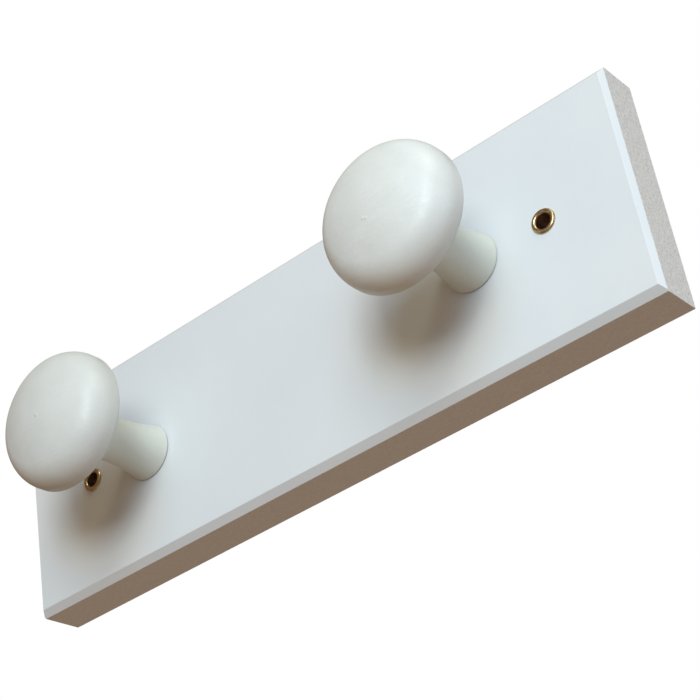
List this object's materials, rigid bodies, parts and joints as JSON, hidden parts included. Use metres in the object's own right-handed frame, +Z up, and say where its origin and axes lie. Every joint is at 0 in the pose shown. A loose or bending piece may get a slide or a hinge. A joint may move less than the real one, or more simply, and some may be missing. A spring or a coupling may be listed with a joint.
{
  "type": "wall coat rack",
  "caption": "Short painted board for a wall, with chamfered front edges, turned mushroom pegs for coats, and brass-lined holes for the wall screws.",
  "frame": {"origin": "middle of the board's back face, the face that lies on the wall", "axes": "as it hangs: +X along the board, to the right seen from the room; +Z up; +Y into the wall, so the pegs point along -Y"},
  "size_m": [0.266, 0.0711, 0.084],
  "materials": {
    "painted_board": "MDF, painted white, eggshell",
    "painted_knob": "turned wood, painted white, satin",
    "steel": "zinc-plated steel",
    "brass": "bright rolled sheet brass, lightly aged"
  },
  "bodies": {
    "root": {"backboard": "painted_board", "left_knob": "painted_knob", "right_knob": "painted_knob", "left_knob_screw": "steel", "right_knob_screw": "steel", "left_eyelet": "brass", "right_eyelet": "brass"}
  },
  "joints": []
}
